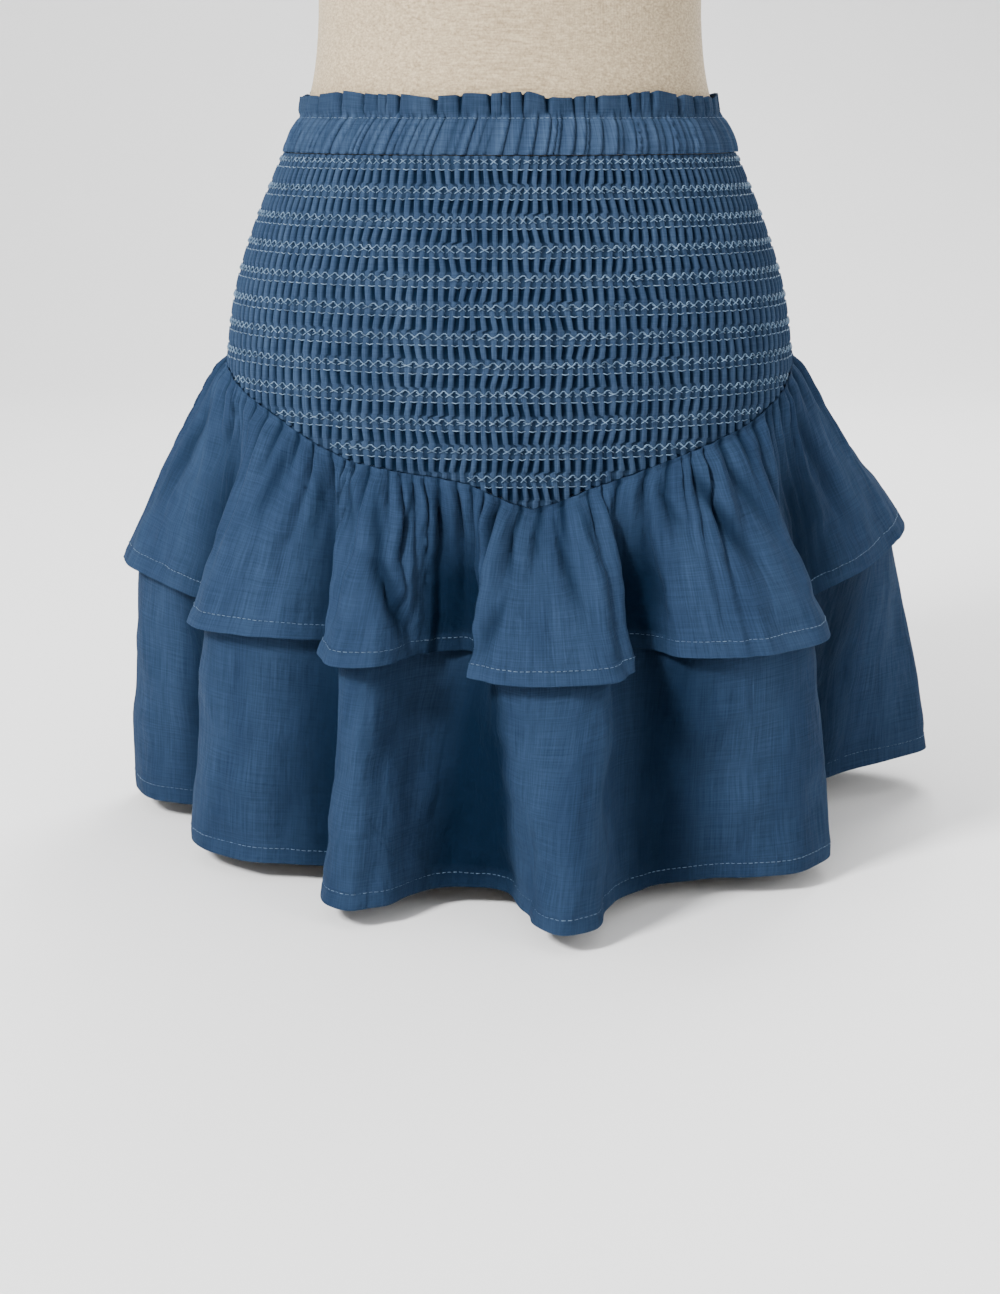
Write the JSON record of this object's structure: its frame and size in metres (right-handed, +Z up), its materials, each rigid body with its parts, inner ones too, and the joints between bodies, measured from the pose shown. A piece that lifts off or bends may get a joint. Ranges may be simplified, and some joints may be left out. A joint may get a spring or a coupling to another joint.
{
  "type": "smocked ruffle skirt on a limbless dress form",
  "caption": "Short skirt with a frilled elastic waist, a pointed smocked yoke and two gathered ruffle tiers, worn by a limbless dress form that it stands on.",
  "frame": {"origin": "middle of the dress form's flat base, on the surface that the part stands on", "axes": "+Z up through the neck, the skirt's front towards -Y, the wearer's left side towards +X"},
  "size_m": [0.5381, 0.5231, 0.96],
  "materials": {
    "blue_cotton": "matte plain weave with a faint sheen",
    "smocked_cotton": "matte plain weave, smocked",
    "linen_cover": "matte woven linen"
  },
  "bodies": {
    "root": {"dress_form": "linen_cover", "waistband": "blue_cotton", "yoke_front": "smocked_cotton", "yoke_back": "smocked_cotton", "upper_ruffle_front": "blue_cotton", "upper_ruffle_back": "blue_cotton", "lower_ruffle_front": "blue_cotton", "lower_ruffle_back": "blue_cotton"}
  },
  "joints": []
}
